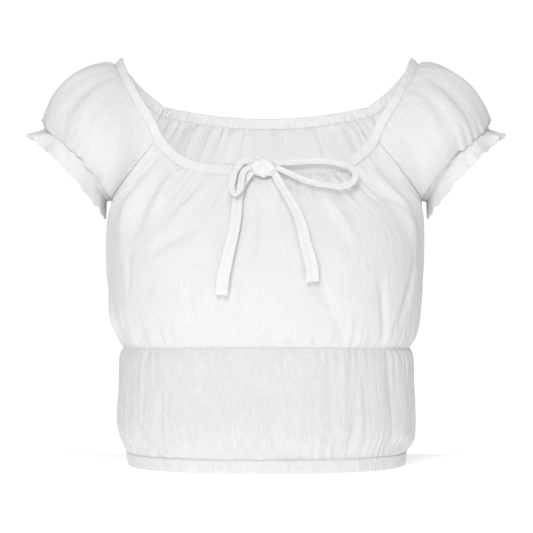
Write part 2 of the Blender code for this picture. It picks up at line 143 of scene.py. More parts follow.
# %% [markdown]
# The blouse is a rule before it is a mesh. Sections give the trunk, a table gives the neckline, and
# the panels are stretched between them. The sizes are those of the solids, so each panel of fine cloth lies
# on its solid. Three things differ, to look softer: the sections at the waist, by up to 3 mm in front, those
# above the hem, by less than 1 mm, and the sleeves, which puff out later from their seams than their solids.

# %% Sizes and sections
CLOTH_THICK = 0.0012
CASING_THICK = 0.0022
CASING_PROUD = 0.0006  # how far a casing stands out from the panels beside it
TIE_THICK = 0.0018

NECK_CASING_WIDTH = 0.0110
HEM_CASING_WIDTH = 0.0130
FRILL_WIDTH = 0.0180

WAIST_DROP = 0.2870
WAIST_RISE = 0.0034  # the waist seam lifts this much at centre front
HEM_DROP = 0.4030
ARMPIT_DROP = 0.1410

SQUARENESS = 2.3  # 2 is an ellipse, and more is squarer

# Share of a panel's length that its armhole edge takes, and of a sleeve's seam before its underarm seam.
ARMHOLE_SHARE = 0.42
UNDERARM_SHARE = 0.92
TUCKED_SHARE = 0.85  # of a casing's width, which is how far under it a panel starts

Section = namedtuple("Section", "drop half_width front back")
BODICE_SECTIONS = (
    Section(0.030, 0.1480, 0.0740, 0.0830),
    Section(0.055, 0.1490, 0.0800, 0.0880),
    Section(0.080, 0.1500, 0.0872, 0.0950),
    Section(0.110, 0.1520, 0.0965, 0.1010),
    Section(0.150, 0.1552, 0.1160, 0.1050),
    Section(0.190, 0.1560, 0.1310, 0.1050),
    Section(0.220, 0.1560, 0.1340, 0.1030),
    Section(0.250, 0.1538, 0.1310, 0.1010),
    Section(0.268, 0.1502, 0.1218, 0.0990),
    Section(0.279, 0.1468, 0.1155, 0.0970),
    Section(0.287, 0.1420, 0.1105, 0.0950),
)
MIDRIFF_SECTIONS = (
    Section(0.287, 0.1420, 0.1105, 0.0950),
    Section(0.293, 0.1448, 0.1120, 0.0975),
    Section(0.303, 0.1463, 0.1130, 0.1000),
    Section(0.325, 0.1472, 0.1150, 0.1020),
    Section(0.350, 0.1485, 0.1170, 0.1035),
    Section(0.363, 0.1486, 0.1172, 0.1038),
    Section(0.375, 0.1465, 0.1155, 0.1022),
    Section(0.384, 0.1423, 0.1118, 0.0989),
    Section(0.390, 0.1392, 0.1092, 0.0965),
    Section(0.396, 0.1378, 0.1080, 0.0955),
    Section(0.403, 0.1372, 0.1074, 0.0950),
)

print("trunk sections:", len(BODICE_SECTIONS), "above the waist,", len(MIDRIFF_SECTIONS), "below")

# %% [markdown]
# The real neckline is one drawstring casing, pulled in, and the cuff is an oval of elastic. Both are given
# by a few places, and a smooth curve through them does the rest, so either can be moved by hand.

# %% Neckline and cuff
# The neckline: where it crosses the centre line and the raglan seams, and how sharply it turns up there.
NeckSide = namedtuple("NeckSide", "centre_drop corner_x corner_drop turn")
FRONT_NECK = NeckSide(0.1093, 0.1017, 0.0774, 5.0)
BACK_NECK = NeckSide(0.0527, 0.1049, 0.0417, 2.0)

# The neckline over the shoulder, between the two raglan seams.
ShoulderPoint = namedtuple("ShoulderPoint", "share x y drop")
SHOULDER_LINE = (
    ShoulderPoint(0.065, 0.1082, -0.0665, 0.0635),
    ShoulderPoint(0.175, 0.1213, -0.0580, 0.0427),
    ShoulderPoint(0.314, 0.1342, -0.0380, 0.0192),
    ShoulderPoint(0.500, 0.1445, 0.0000, -0.0020),
    ShoulderPoint(0.703, 0.1392, 0.0360, 0.0110),
    ShoulderPoint(0.806, 0.1296, 0.0500, 0.0218),
    ShoulderPoint(0.911, 0.1169, 0.0600, 0.0332),
)

# The cuff's elastic: an oval from the underarm to the top of the arm, drawn in towards the neck between them.
CUFF_UNDERARM = np.array((0.1605, 0.0, -0.1415))
CUFF_TOP = np.array((0.2225, 0.0, -0.0700))
CUFF_HALF_DEPTH = 0.0560
CUFF_DRAWN_IN = 0.0090
SLEEVE_PUFF = 0.0235

print("neckline rows over a shoulder:", len(SHOULDER_LINE))

# %% [markdown]
# Smooth curves through short tables make the surfaces. A trunk section is a superellipse, a little
# squarer than an ellipse, and a sleeve is a patch filled in between its four edges.

# %% Curves through tables
def smooth_curve(at, values):
    """A smooth function through the rows of a table, held at its end values past both ends."""
    at = np.array(at, float)
    values = np.array(values, float)
    slopes = np.gradient(values, at, axis=0)

    def value(x):
        x = np.clip(np.asarray(x, float), at[0], at[-1])
        row = np.clip(np.searchsorted(at, x) - 1, 0, len(at) - 2)
        span = at[row + 1] - at[row]
        t = (x - at[row]) / span
        if values.ndim > 1:
            t, span = t[..., None], span[..., None]
        return (
            values[row] * (1 + 2 * t) * (1 - t) ** 2
            + slopes[row] * span * t * (1 - t) ** 2
            + values[row + 1] * t**2 * (3 - 2 * t)
            + slopes[row + 1] * span * t**2 * (t - 1)
        )

    return value


def torso(sections):
    """The half width, front depth and back depth of the torso at any drop."""
    return smooth_curve([s.drop for s in sections], [s[1:] for s in sections])


bodice_size = torso(BODICE_SECTIONS)
midriff_size = torso(MIDRIFF_SECTIONS)


def mix(a, b, share):
    return a + (b - a) * share


def ease(t):
    t = np.clip(t, 0, 1)
    return t * t * (3 - 2 * t)


def signed_power(value, power):
    return np.sign(value) * np.abs(value) ** power


def round_torso(size, drop, angle):
    """A point of the torso: angle 0 is centre front, a quarter turn the wearer's left, and so round."""
    half_width, front, back = np.moveaxis(size, -1, 0)
    x = half_width * signed_power(np.sin(angle), 2 / SQUARENESS)
    ahead = signed_power(np.cos(angle), 2 / SQUARENESS)
    y = -np.where(ahead > 0, front, back) * ahead
    return np.stack(np.broadcast_arrays(x, y, -drop), axis=-1)


def waist_lift(angle):
    return WAIST_RISE * np.clip(np.cos(angle), 0, 1) ** 2


print("half width at the bust:", round(float(bodice_size(0.2)[0]), 4))

# %% [markdown]
# A raglan front runs from side seam to side seam only below the armpit. Above it, slanting seams cut it off.
# So a panel is stretched between its own two edges at each height. The edges turn a sharp corner at the
# armpit, and away from them that corner is averaged out, or every fold would bend there.

# %% Bodice panels
ARMPIT_SOFTENED = 0.16  # share of the panel's length over which the armpit corner is averaged
ARMPIT_SAMPLES = 9


def armhole_edge(neck, down):
    """Angle and drop of a bodice panel's edge: the raglan seam to the armpit, then the side seam."""
    seam = np.clip(down / ARMHOLE_SHARE, 0, 1)
    side = np.clip((down - ARMHOLE_SHARE) / (1 - ARMHOLE_SHARE), 0, 1)
    drop = mix(neck.corner_drop, ARMPIT_DROP, seam) + (WAIST_DROP - ARMPIT_DROP) * side
    x = mix(neck.corner_x, bodice_size(ARMPIT_DROP)[0], seam)
    reach = np.where(seam < 1, x / bodice_size(drop)[..., 0], 1.0)
    return np.arcsin(np.clip(reach, 0, 1) ** (SQUARENESS / 2)), drop


def bodice_point(neck, across, down):
    """A point of the front or back: across runs -1 to 1 between the seams, down 0 to 1 from neck to waist."""
    edge_angle, edge_drop = armhole_edge(neck, down)
    reach = ARMPIT_SOFTENED * ease(down / 0.2) * ease((1 - down) / 0.1) * (1 - np.abs(across) ** 6)
    if np.any(reach > 0):
        steps = np.linspace(-1, 1, ARMPIT_SAMPLES)
        nearby = [armhole_edge(neck, down + reach * step) for step in steps]
        edge_angle = sum(angle for angle, _ in nearby) / ARMPIT_SAMPLES
        edge_drop = sum(drop for _, drop in nearby) / ARMPIT_SAMPLES
    centre_drop = mix(neck.centre_drop, WAIST_DROP, down)
    angle = edge_angle * np.abs(across)
    out = (np.sin(angle) / np.sin(edge_angle)) ** (2 / SQUARENESS)
    climb = mix(out**neck.turn, across**2, ease(down / ARMHOLE_SHARE))
    drop = mix(centre_drop, edge_drop, climb)
    turned = angle * np.sign(across)
    if neck is BACK_NECK:
        turned = np.pi - turned
    point = round_torso(bodice_size(drop), drop, turned)
    point[..., 2] += waist_lift(turned) * ease((drop - 0.20) / (WAIST_DROP - 0.20))
    return point


def raglan_seam(neck, share):
    """The seam between a bodice panel and the sleeve at +X, from the neckline to the armpit."""
    angle, drop = armhole_edge(neck, share * ARMHOLE_SHARE)
    if neck is BACK_NECK:
        angle = np.pi - angle
    return round_torso(bodice_size(drop), drop, angle)


print("armpit:", raglan_seam(FRONT_NECK, 1.0).round(4))

# %% [markdown]
# A puff sleeve is gathered at both ends and free between them. Its four edges are known: neckline, cuff and
# the two raglan seams. A patch blended from four edges (a Coons patch) fills them in, and the puff is added
# on top. That keeps the seams shared exactly with the front and back.

# %% The sleeve's rule
SHOULDER_ROWS = (
    [raglan_seam(FRONT_NECK, 0.0)]
    + [np.array((p.x, p.y, -p.drop)) for p in SHOULDER_LINE]
    + [raglan_seam(BACK_NECK, 0.0)]
)
shoulder_edge = smooth_curve([0.0] + [p.share for p in SHOULDER_LINE] + [1.0], SHOULDER_ROWS)

CUFF_CENTRE = (CUFF_UNDERARM + CUFF_TOP) / 2
CUFF_UP = (CUFF_TOP - CUFF_UNDERARM) / 2
CUFF_OUT = np.array((CUFF_UP[2], 0.0, -CUFF_UP[0])) / np.linalg.norm(CUFF_UP)


def cuff_edge(around):
    """The elastic line of the cuff at +X: 0 and 1 are the underarm, a quarter the front, a half the top."""
    turn = 2 * np.pi * np.asarray(around, float)[..., None]
    drawn = CUFF_DRAWN_IN * np.abs(np.sin(turn)) ** 1.5
    depth = CUFF_HALF_DEPTH * np.sin(turn)
    return CUFF_CENTRE - CUFF_UP * np.cos(turn) - CUFF_OUT * drawn - np.array((0, 1, 0)) * depth


def sleeve_seam(neck, along):
    """A sleeve's edge: its raglan seam, then the short underarm seam to the cuff."""
    along = np.asarray(along, float)
    seam = raglan_seam(neck, np.clip(along / UNDERARM_SHARE, 0, 1))
    under = np.clip((along - UNDERARM_SHARE) / (1 - UNDERARM_SHARE), 0, 1)[..., None]
    return seam + (CUFF_UNDERARM - raglan_seam(neck, 1.0)) * under


def sleeve_point(around, along):
    """A point of the sleeve at +X: around 0 to 1, front seam to back, and along 0 to 1, neck to cuff."""
    t, w = np.asarray(around, float)[..., None], np.asarray(along, float)[..., None]
    ends = mix(shoulder_edge(around), cuff_edge(around), w)
    sides = mix(sleeve_seam(FRONT_NECK, along), sleeve_seam(BACK_NECK, along), t)
    corners = mix(
        mix(shoulder_edge(0.0), shoulder_edge(1.0), t), mix(cuff_edge(0.0), cuff_edge(1.0), t), w
    )
    return ends + sides - corners


def sleeve_puff(around, along):
    """How far the sleeve blows out: full over the cap, and softly from its seams in front and behind."""
    cap = np.sin(np.pi * around)
    return SLEEVE_PUFF * np.sin(np.pi * along) ** (1.3 - 0.8 * cap**4) * cap**1.4


print("cuff top:", cuff_edge(0.5).round(4))

# %% [markdown]
# The midriff is a plain tube from the waist seam to the hem, so its rule needs only an angle and a height.

# %% The midriff's rule
def midriff_point(angle, down):
    """A point of the midriff: down runs 0 to 1 from the waist seam to the hem."""
    drop = mix(WAIST_DROP, HEM_DROP, np.asarray(down, float))
    point = round_torso(midriff_size(drop), drop, angle)
    point[..., 2] += waist_lift(angle) * (1 - down)
    return point


print("hem at centre front:", midriff_point(0.0, 1.0).round(4))

# %% [markdown]
# Nothing on cloth is even, so a smooth noise from a fixed seed varies the folds, gathers and crinkles.

# %% Smooth noise
def value_noise(u, v, seed):
    """Smooth noise from -1 to 1 over two numbers, the same each run."""
    table = np.random.default_rng(seed).uniform(-1, 1, (512, 512))
    u, v = np.broadcast_arrays(np.asarray(u, float), np.asarray(v, float))
    iu, iv = np.floor(u).astype(int), np.floor(v).astype(int)
    fu, fv = ease(u - iu), ease(v - iv)
    low = mix(table[iu % 512, iv % 512], table[(iu + 1) % 512, iv % 512], fu)
    high = mix(table[iu % 512, (iv + 1) % 512], table[(iu + 1) % 512, (iv + 1) % 512], fu)
    return mix(low, high, fv)


print("noise at the origin:", round(float(value_noise(0.5, 0.5, 1)), 3))

# %% [markdown]
# The frill is the sleeve's own end beyond the elastic. It flares and waves, and under the arm, where the
# body presses on it, it hangs straight down.

# %% Frill
def frill_point(around, out):
    """A point of the frill at +X: out runs 0 to 1 from the elastic to the free edge."""
    base = cuff_edge(around)
    t, k = np.asarray(around, float)[..., None], np.asarray(out, float)[..., None]
    radial = base - CUFF_CENTRE
    radial /= np.linalg.norm(radial, axis=-1, keepdims=True)
    under = np.cos(np.pi * t) ** 4
    way = mix(CUFF_OUT + 0.25 * radial, np.array((0.05, 0.0, -1.0)), under)
    way /= np.linalg.norm(way, axis=-1, keepdims=True)
    wave = np.sin(2 * np.pi * (11 * t + 0.25 * np.sin(2 * np.pi * 2 * t + 0.6)))
    ripple = value_noise(t[..., 0] * 52, k[..., 0] * 1.2, 61)[..., None]
    side = 0.6 * radial - 0.8 * mix(CUFF_OUT, radial, 0.5) * under
    curl = way * FRILL_WIDTH * (k - 0.10 * np.abs(wave) * k**2)
    return base + curl + side * (0.0038 * wave + 0.0058 * ripple) * k**0.8 * (1 - 0.7 * under)


print("frill edge at the front:", frill_point(np.array([0.25]), np.array([1.0])).round(4))

# %% [markdown]
# Folds come in three sizes. The largest are placed one by one in a table, each from one place to another on
# its panel. Gathers start at a stitched edge and die away at uneven lengths. Crinkle, which the cloth has
# everywhere, is a smooth noise drawn out along the cloth. A cloth simulation would fold anywhere it liked,
# and a table keeps each fold in its own place.

# %% Fold, gather and crinkle makers
def outward(points):
    """Unit normals of a grid of points, first index across and second down."""
    normal = np.cross(np.gradient(points, axis=1), np.gradient(points, axis=0))
    return normal / np.maximum(np.linalg.norm(normal, axis=-1, keepdims=True), 1e-12)


Fold = namedtuple("Fold", "across_top down_top across_low down_low depth width")


def folds(rows, across, down):
    """The sum of the listed folds, each a soft ridge, or a trough where its depth is negative."""
    total = np.zeros(np.broadcast(across, down).shape)
    for fold in rows:
        along = np.array((fold.across_low - fold.across_top, fold.down_low - fold.down_top))
        place = np.stack(np.broadcast_arrays(across - fold.across_top, down - fold.down_top), -1)
        share = np.clip(place @ along / (along @ along), 0, 1)
        away = np.linalg.norm(place - share[..., None] * along, axis=-1)
        total += fold.depth * np.exp(-((away / fold.width) ** 2)) * np.sin(np.pi * mix(0.10, 0.95, share))
    return total


def gathers(share, into, count, depth, reach, seed):
    """Uneven gathers along an edge: none in the stitching itself, deepest just past it, then dying away."""
    lean = share + 0.35 / count * value_noise(share * count * 0.2, into * 2, seed + 1)
    own_reach = reach * (0.75 + 0.5 * value_noise(share * count * 0.7, 0 * into, seed + 2))
    fade = ease(into / (0.12 * reach)) * np.clip(1 - into / own_reach, 0, 1) ** 1.4
    return depth * value_noise(lean * count * 2, into * 1.5, seed) * fade


def crinkle(across_m, down_m, seed, depth=0.00022):
    """The cloth's own crinkle: long in the warp, narrow across it."""
    fine = value_noise(across_m / 0.0034, down_m / 0.016, seed)
    coarse = value_noise(across_m / 0.0085, down_m / 0.034, seed + 5)
    return depth * (fine + 1.3 * coarse)


FRONT_FOLDS = (
    Fold(-0.86, 0.04, -0.70, 0.50, 0.0042, 0.050),
    Fold(-0.70, 0.05, -0.56, 0.36, 0.0036, 0.036),
    Fold(-0.78, 0.10, -0.62, 0.40, -0.0026, 0.026),
    Fold(-0.92, 0.22, -0.90, 0.75, 0.0022, 0.045),
    Fold(0.80, 0.05, 0.74, 0.55, 0.0044, 0.050),
    Fold(0.66, 0.08, 0.80, 0.42, -0.0024, 0.026),
    Fold(0.92, 0.25, 0.90, 0.75, 0.0022, 0.045),
    Fold(0.00, 0.18, -0.02, 0.52, -0.0026, 0.022),
    Fold(-0.30, 0.33, -0.52, 0.52, -0.0019, 0.030),
    Fold(-0.62, 0.52, -0.62, 0.72, -0.0018, 0.020),
    Fold(-0.06, 0.60, -0.08, 0.96, -0.0019, 0.018),
    Fold(-0.28, 0.66, -0.28, 0.99, -0.0015, 0.020),
    Fold(0.72, 0.60, 0.60, 0.90, -0.0026, 0.028),
    Fold(0.46, 0.64, 0.52, 0.99, -0.0022, 0.022),
    Fold(0.20, 0.48, 0.08, 0.62, -0.0016, 0.026),
    Fold(0.18, 0.62, 0.28, 0.96, -0.0017, 0.022),
    Fold(-0.90, 0.80, -0.82, 0.97, 0.0026, 0.030),
    Fold(-0.74, 0.82, -0.70, 0.97, 0.0022, 0.026),
    Fold(0.34, 0.10, 0.36, 0.44, 0.0018, 0.036),
    Fold(-0.42, 0.08, -0.44, 0.36, 0.0016, 0.034),
)
BACK_FOLDS = (
    Fold(-0.58, 0.06, -0.44, 0.60, 0.0034, 0.055),
    Fold(-0.20, 0.05, -0.26, 0.44, -0.0022, 0.030),
    Fold(0.12, 0.05, 0.06, 0.70, 0.0030, 0.055),
    Fold(0.64, 0.06, 0.50, 0.55, 0.0034, 0.055),
    Fold(0.36, 0.55, 0.44, 0.98, -0.0024, 0.028),
    Fold(-0.40, 0.62, -0.34, 0.98, -0.0022, 0.026),
)
MIDRIFF_FOLDS = (
    Fold(-0.44, 0.25, -0.45, 0.98, -0.0024, 0.018),
    Fold(-0.62, 0.70, -0.48, 0.98, -0.0036, 0.030),
    Fold(0.02, 0.55, 0.03, 0.98, -0.0020, 0.016),
    Fold(0.56, 0.04, 0.60, 0.96, -0.0032, 0.024),
    Fold(0.36, 0.60, 0.32, 0.98, -0.0028, 0.022),
    Fold(-0.24, 0.10, -0.22, 0.62, -0.0012, 0.020),
    Fold(0.24, 0.05, 0.22, 0.50, -0.0012, 0.018),
    Fold(-0.78, 0.10, -0.80, 0.80, 0.0016, 0.045),
    Fold(0.80, 0.15, 0.80, 0.85, 0.0018, 0.045),
)
SLEEVE_FOLDS = (
    Fold(0.36, 0.08, 0.35, 0.95, -0.0030, 0.022),
    Fold(0.43, 0.05, 0.43, 0.97, 0.0026, 0.024),
    Fold(0.29, 0.12, 0.27, 0.80, -0.0020, 0.020),
    Fold(0.21, 0.20, 0.20, 0.90, -0.0016, 0.022),
    Fold(0.12, 0.25, 0.13, 0.85, 0.0016, 0.030),
    Fold(0.57, 0.08, 0.58, 0.95, -0.0026, 0.026),
    Fold(0.70, 0.12, 0.72, 0.85, 0.0020, 0.030),
    Fold(0.84, 0.20, 0.82, 0.85, -0.0016, 0.028),
)
print("placed folds:", len(FRONT_FOLDS) + len(BACK_FOLDS) + len(MIDRIFF_FOLDS) + len(SLEEVE_FOLDS))

# %% [markdown]
# The finish is one white cotton. Its weave, its crinkle and its colour are shader groups, used by each
# material with values of its own; the colour is painted shade in the crinkle's valleys over faint clouds of
# uneven tone. They read the piece's own UV map, laid out in metres of cloth, so the threads follow the cloth
# round the body.

# %% Shader groups
def shader_group(name, inputs, outputs):
    group = bpy.data.node_groups.new(name, "ShaderNodeTree")
    for label, kind, value in inputs:
        socket = group.interface.new_socket(label, in_out="INPUT", socket_type=kind)
        if value is not None:
            socket.default_value = value
    for label, kind in outputs:
        group.interface.new_socket(label, in_out="OUTPUT", socket_type=kind)
    return group, group.nodes.new("NodeGroupInput"), group.nodes.new("NodeGroupOutput")


def stretched(group, source, across, along):
    """A copy of the cloth's coordinate, scaled by one number across and another along."""
    scale = group.nodes.new("ShaderNodeMapping")
    scale.inputs["Scale"].default_value = (across, along, 1)
    group.links.new(source, scale.inputs["Vector"])
    return scale.outputs["Vector"]


def noise_node(group, coordinate, scale, detail):
    noise = group.nodes.new("ShaderNodeTexNoise")
    noise.inputs["Scale"].default_value = scale
    noise.inputs["Detail"].default_value = detail
    group.links.new(coordinate, noise.inputs["Vector"])
    return noise.outputs["Fac"]


def math_node(group, operation, *terms):
    """A Math node fed by sockets and numbers, as its output socket."""
    node = group.nodes.new("ShaderNodeMath")
    node.operation = operation
    for place, term in zip(node.inputs, terms):
        if isinstance(term, bpy.types.NodeSocket):
            group.links.new(term, place)
        else:
            place.default_value = term
    return node.outputs["Value"]


def crinkle_group():
    """Fine wrinkles drawn out along the warp, as a height from 0 to 1."""
    group, given, made = shader_group(
        "crinkled_cotton",
        [("Cloth", "NodeSocketVector", None), ("Weave", "NodeSocketFloat", 0.25)],
        [("Height", "NodeSocketFloat")],
    )
    total = 0.0
    for across, along, detail, share in ((420, 70, 3.0, 0.55), (950, 190, 2.0, 0.30), (260, 420, 2.0, 0.15)):
        spot = stretched(group, given.outputs["Cloth"], across, along)
        total = math_node(group, "MULTIPLY_ADD", noise_node(group, spot, 1.0, detail), share, total)
    waves = []
    for direction in ("X", "Y"):
        thread = group.nodes.new("ShaderNodeTexWave")
        thread.bands_direction = direction
        thread.inputs["Scale"].default_value = 320.0
        group.links.new(given.outputs["Cloth"], thread.inputs["Vector"])
        waves.append(thread.outputs["Fac"])
    weave = math_node(group, "MULTIPLY", math_node(group, "MAXIMUM", *waves), given.outputs["Weave"])
    group.links.new(math_node(group, "ADD", total, weave), made.inputs["Height"])
    return group


def painted_shade_and_tone_group():
    """Painted shade: the crinkle's valleys get the darker colour, and the cloth has faint clouds of uneven
    tone.
    """
    group, given, made = shader_group(
        "cotton_painted_shade_and_tone",
        [
            ("Cloth", "NodeSocketVector", None),
            ("Height", "NodeSocketFloat", 0.5),
            ("Light", "NodeSocketColor", (0.9, 0.9, 0.89, 1)),
            ("Dark", "NodeSocketColor", (0.8, 0.8, 0.79, 1)),
        ],
        [("Color", "NodeSocketColor"), ("Roughness", "NodeSocketFloat")],
    )
    cloud = noise_node(group, given.outputs["Cloth"], 22.0, 3.0)
    valley_shade_and_tone = math_node(group, "MULTIPLY_ADD", cloud, 0.25, given.outputs["Height"])
    spread = group.nodes.new("ShaderNodeMapRange")
    spread.inputs["From Min"].default_value = 0.45
    spread.inputs["From Max"].default_value = 0.85
    group.links.new(valley_shade_and_tone, spread.inputs["Value"])
    # Painted shade: low crinkle height, in the valleys, mixes toward the Dark colour, and the clouds add
    # uneven tone.
    blend = group.nodes.new("ShaderNodeMix")
    blend.data_type = "RGBA"
    group.links.new(spread.outputs["Result"], blend.inputs["Factor"])
    group.links.new(given.outputs["Dark"], blend.inputs["A"])
    group.links.new(given.outputs["Light"], blend.inputs["B"])
    group.links.new(blend.outputs["Result"], made.inputs["Color"])
    rough = group.nodes.new("ShaderNodeMapRange")
    rough.inputs["To Min"].default_value = 0.92
    rough.inputs["To Max"].default_value = 0.80
    group.links.new(spread.outputs["Result"], rough.inputs["Value"])
    group.links.new(rough.outputs["Result"], made.inputs["Roughness"])
    return group


CRINKLE = crinkle_group()
PAINTED_SHADE_AND_TONE = painted_shade_and_tone_group()
print("shader groups:", CRINKLE.name, PAINTED_SHADE_AND_TONE.name)

# %% [markdown]
# Gauzy cotton is matt, with a faint fuzz that catches light at its edges, and a little light goes into the
# threads and comes out beside them. Sheen and a short subsurface scatter on one Principled shader give both.

# %% Cotton materials
def cotton(name, light, dark, bump_mm, weave):
    material = bpy.data.materials.new(name)
    material.use_nodes = True
    nodes, links = material.node_tree.nodes, material.node_tree.links
    shader = nodes["Principled BSDF"]
    shader.inputs["Sheen Weight"].default_value = 0.15
    shader.inputs["Sheen Roughness"].default_value = 0.5
    shader.inputs["Specular IOR Level"].default_value = 0.2
    shader.inputs["Subsurface Weight"].default_value = 0.3
    shader.inputs["Subsurface Radius"].default_value = (1, 1, 1)
    shader.inputs["Subsurface Scale"].default_value = 0.003
    cloth_map = nodes.new("ShaderNodeUVMap")
    cloth_map.uv_map = "cloth"
    wrinkles = nodes.new("ShaderNodeGroup")
    wrinkles.node_tree = CRINKLE
    wrinkles.inputs["Weave"].default_value = weave
    shade = nodes.new("ShaderNodeGroup")
    shade.node_tree = PAINTED_SHADE_AND_TONE
    # Dark is painted shade for the crinkle's valleys and also the darker side of the clouds' uneven tone.
    shade.inputs["Light"].default_value = (*light, 1)
    shade.inputs["Dark"].default_value = (*dark, 1)
    bump = nodes.new("ShaderNodeBump")
    bump.inputs["Distance"].default_value = bump_mm / 1000
    bump.inputs["Strength"].default_value = 1.0
    links.new(cloth_map.outputs["UV"], wrinkles.inputs["Cloth"])
    links.new(cloth_map.outputs["UV"], shade.inputs["Cloth"])
    links.new(wrinkles.outputs["Height"], shade.inputs["Height"])
    links.new(shade.outputs["Color"], shader.inputs["Base Color"])
    links.new(shade.outputs["Roughness"], shader.inputs["Roughness"])
    links.new(wrinkles.outputs["Height"], bump.inputs["Height"])
    links.new(bump.outputs["Normal"], shader.inputs["Normal"])
    return material


# The second colour of each is painted shade in the crinkle's valleys, and also the darker side of the clouds'
# uneven tone.
BODICE_COTTON = cotton("bodice_cotton", (0.90, 0.90, 0.895), (0.83, 0.83, 0.825), 0.9, 0.10)
MIDRIFF_COTTON = cotton("midriff_crinkle_cotton", (0.89, 0.89, 0.885), (0.77, 0.77, 0.765), 1.6, 0.12)
CASING_COTTON = cotton("casing_cotton", (0.91, 0.91, 0.905), (0.84, 0.84, 0.835), 0.9, 0.10)
TIE_COTTON = cotton("tie_cotton", (0.92, 0.92, 0.915), (0.86, 0.86, 0.855), 0.6, 0.12)
THREAD = cotton("stitching_thread", (0.88, 0.88, 0.875), (0.74, 0.74, 0.735), 0.1, 0.3)
print("materials:", [m.name for m in bpy.data.materials])

# %% [markdown]
# A piece of cloth is a fine grid of points on its outer face, given a wall by Solidify and a UV map in
# metres. A mirrored piece for the other side has its columns turned round, so its faces still point out.

# %% Cloth maker
def cloth(name, points, thickness, material, nodes, round_it=False):
    columns, rows = points.shape[:2]
    around = columns if round_it else columns - 1
    i, j = np.meshgrid(np.arange(around), np.arange(rows - 1), indexing="ij")
    beside = (i + 1) % columns
    here, there = i * rows + j, beside * rows + j
    quads = np.stack([here, here + 1, there + 1, there], -1).reshape(-1, 4)
    mesh = bpy.data.meshes.new(name)
    mesh.from_pydata(points.reshape(-1, 3).tolist(), [], quads.tolist())
    mesh.shade_smooth()
    nxt = np.concatenate([points[1:], points[:1]])
    wide = np.linalg.norm(nxt - points, axis=-1).mean(axis=1)
    u = np.concatenate([[0], np.cumsum(wide)])[: columns + 1]
    v = np.concatenate([[0], np.cumsum(np.linalg.norm(np.diff(points, axis=1), axis=-1).mean(axis=0))])
    corners = np.stack(
        [np.stack([u[a], v[b]], -1) for a, b in ((i, j), (i, j + 1), (i + 1, j + 1), (i + 1, j))], axis=-2
    )
    mesh.uv_layers.new(name="cloth").data.foreach_set("uv", corners.reshape(-1).astype(np.float32))
    mesh.materials.append(material)
    piece = bpy.data.objects.new(name, mesh)
    scene.collection.objects.link(piece)
    wall = piece.modifiers.new("wall", "SOLIDIFY")
    wall.thickness = thickness
    wall.offset = -1.0
    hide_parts(*nodes)
    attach(piece, "root")
    area = sum(p.area for p in mesh.polygons)
    print(name, "area", round(area, 4), "faces", len(mesh.polygons))
    return piece, area


def mirrored(points):
    return (points * np.array((-1.0, 1.0, 1.0)))[::-1]


# %% [markdown]
# The front and back are gathered into the casing above and into the waist seam below. So gathers of uneven
# depth run in from both edges, in a coarse and a fine size, and the listed folds lie between them. All of it
# fades out at the side edges, where two panels meet.


def casing_share(point_at):
    """The share of a panel's length, for each of its columns, that the neck casing covers."""
    step = 0.02
    start, further = point_at(0.0), point_at(step)
    return NECK_CASING_WIDTH * step / np.linalg.norm(further - start, axis=-1)


def bodice_grid(neck, columns, rows, rows_of_folds, seed):
    line = np.linspace(-1, 1, columns)
    top = casing_share(lambda down: bodice_point(neck, line, np.full_like(line, down)))[:, None]
    into = np.linspace(0, 1, rows) + 0 * top
    down = TUCKED_SHARE * top + (1 - TUCKED_SHARE * top) * into
    across = line[:, None] + 0 * down
    points = bodice_point(neck, across, down)
    share = (across + 1) / 2
    relief = (
        gathers(share, into, 30, 0.0030, 0.42, seed)
        + gathers(share, into, 62, 0.0014, 0.16, seed + 10)
        + gathers(share, 1 - into, 34, 0.0026, 0.30, seed + 20)
        + gathers(share, 1 - into, 74, 0.0013, 0.10, seed + 30)
        + 1.5 * folds(rows_of_folds, across, into) * ease(into / 0.04) * ease((1 - into) / 0.03)
        + 0.0016 * value_noise(across * 6.5, into * 3, seed + 40) * ease(into / 0.1) * ease((1 - into) / 0.1)
    )
    edge = (1 - np.abs(across)) * 0.18
    relief = relief * ease(edge / 0.016) + crinkle(across * 0.19, into * 0.19, seed + 50)
    relief = relief - 0.0002 * np.exp(-((edge / 0.0016) ** 2))
    if neck is BACK_NECK:
        points, relief, into = points[::-1], relief[::-1], into[::-1]
    way = outward(points)
    way[..., 2] *= 1 - ease((into - 0.75) / 0.25)
    return points + way * relief[..., None]


front, front_area = cloth("front_panel", bodice_grid(FRONT_NECK, 250, 140, FRONT_FOLDS, 11), CLOTH_THICK,
                          BODICE_COTTON, ["bodice_front"])
back, back_area = cloth("back_panel", bodice_grid(BACK_NECK, 210, 120, BACK_FOLDS, 111), CLOTH_THICK,
                        BODICE_COTTON, ["bodice_back"])

# %% [markdown]
# A raglan sleeve blows out between its four edges. Its folds run from the neck to the cuff, fanning over the
# cap, and its frill carries on past the elastic in the same cloth. The two sleeves have their own folds.


